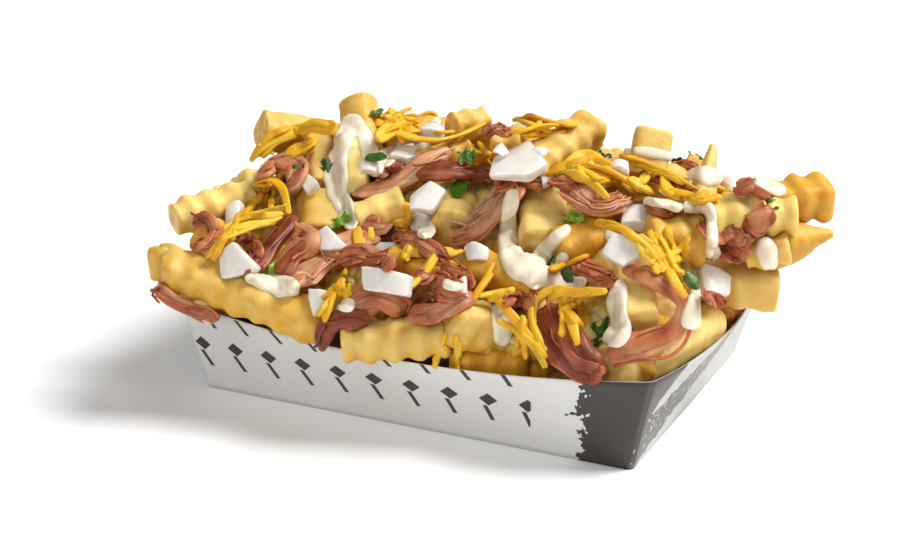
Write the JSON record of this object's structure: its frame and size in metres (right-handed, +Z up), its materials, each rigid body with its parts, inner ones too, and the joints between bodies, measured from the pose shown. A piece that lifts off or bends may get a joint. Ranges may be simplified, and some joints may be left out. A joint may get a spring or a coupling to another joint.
{
  "type": "tray of carnitas fries",
  "caption": "Crinkle-cut fries heaped in an open paper tray, topped with pulled pork, shredded cheese, diced onion, crema and chopped herb",
  "frame": {"origin": "middle of the tray's flat underside, where the part rests", "axes": "+X along the tray's long side to the right as pictured, +Y to the far side, +Z up"},
  "size_m": [0.2181, 0.1558, 0.0973],
  "materials": {
    "tray": "white coated paperboard printed with a charcoal pattern, satin",
    "fries": "golden fried potato, soft sheen of oil",
    "carnitas": "moist shredded pork, pink-brown with darker folds",
    "crema": "thick white cream, glossy",
    "onion": "raw white onion, slightly see-through",
    "cheese": "shredded yellow cheese, satin"
  },
  "bodies": {
    "root": {"tray": "tray", "fries": "fries", "carnitas_upper_left": "carnitas", "carnitas_left_strand": "carnitas", "carnitas_left_fold": "carnitas", "carnitas_left_slab": "carnitas", "carnitas_left_hook": "carnitas", "carnitas_rim_strand": "carnitas", "carnitas_top_strand": "carnitas", "carnitas_top_band": "carnitas", "carnitas_middle_shreds": "carnitas", "carnitas_right_curls": "carnitas", "carnitas_right_dark": "carnitas", "carnitas_front_lobe": "carnitas", "carnitas_front_roll": "carnitas", "carnitas_front_hook": "carnitas", "carnitas_front_chunk": "carnitas", "carnitas_long_curve": "carnitas", "carnitas_right_shreds": "carnitas", "carnitas_right_top": "carnitas", "carnitas_back_left": "carnitas", "carnitas_back_right": "carnitas", "crema_left": "crema", "crema_loop": "crema", "crema_pour": "crema", "crema_pool": "crema", "crema_drip": "crema", "crema_front": "crema", "crema_blob": "crema", "crema_right_blob": "crema", "crema_corner_blob": "crema", "crema_right_top": "crema", "crema_back": "crema", "onion_top": "onion", "onion_right": "onion", "onion_rim": "onion", "onion_middle": "onion", "onion_bar": "onion", "onion_large": "onion", "onion_left": "onion", "onion_lower_left": "onion", "onion_upper_left": "onion", "onion_slice": "onion", "onion_top_left": "onion", "onion_crest": "onion", "onion_under_cheese": "onion", "onion_back_left": "onion", "cheese_upper_left": "cheese", "cheese_top_left": "cheese", "cheese_crest": "cheese", "cheese_left": "cheese", "cheese_middle": "cheese", "cheese_centre": "cheese", "cheese_lower_left": "cheese", "cheese_front": "cheese", "cheese_front_right": "cheese", "cheese_top_right": "cheese", "cheese_crest_right": "cheese", "cheese_right": "cheese", "cheese_back_left": "cheese"}
  },
  "joints": []
}
